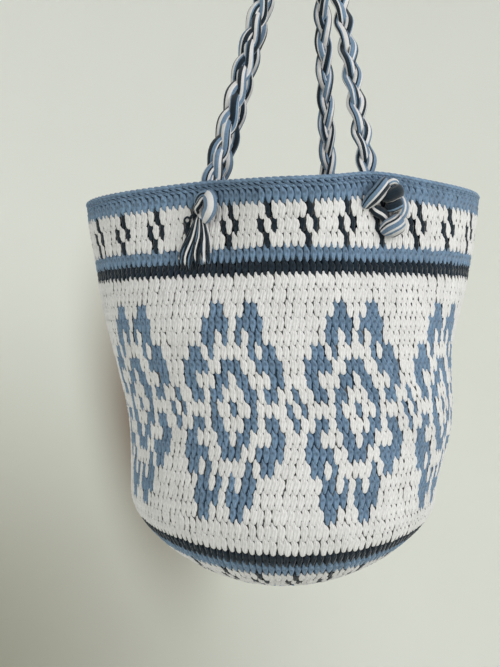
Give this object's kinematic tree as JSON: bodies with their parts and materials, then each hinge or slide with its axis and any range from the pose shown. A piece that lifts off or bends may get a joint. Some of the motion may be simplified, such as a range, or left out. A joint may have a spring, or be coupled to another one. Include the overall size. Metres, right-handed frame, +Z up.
{
  "type": "crocheted bucket bag",
  "caption": "Round-bottomed bucket bag in tapestry crochet with stepped medallions, hung by braided rope handles knotted through its wall, with a tassel and a folded end.",
  "frame": {"origin": "the underside of the handles' top bend, midway between the two handles, where the bag hangs on a hook", "axes": "+Z up, -Y out of the front of the bag, where the seen knots are, and +X to the right of a person who faces it"},
  "size_m": [0.3448, 0.2838, 0.6283],
  "materials": {
    "crochet_cotton": "matte, ridged rows of stitches in white, light blue and navy cotton",
    "braid_navy": "matte twisted yarn",
    "braid_white": "matte twisted yarn",
    "braid_blue": "matte twisted yarn",
    "knot_cotton": "matte twisted yarn in white, light blue and navy",
    "tassel_cotton": "matte loose yarn, mostly navy"
  },
  "bodies": {
    "root": {"crocheted_bag": "crochet_cotton", "front_handle_strand_1": "braid_navy", "front_handle_strand_2": "braid_white", "front_handle_strand_3": "braid_blue", "back_handle_strand_1": "braid_navy", "back_handle_strand_2": "braid_white", "back_handle_strand_3": "braid_blue", "front_left_knot": "knot_cotton", "front_right_knot": "knot_cotton", "back_left_knot": "knot_cotton", "back_right_knot": "knot_cotton", "front_left_tassel": "tassel_cotton", "back_right_tassel": "tassel_cotton", "front_right_loop_end": "knot_cotton", "back_left_loop_end": "knot_cotton"}
  },
  "joints": []
}
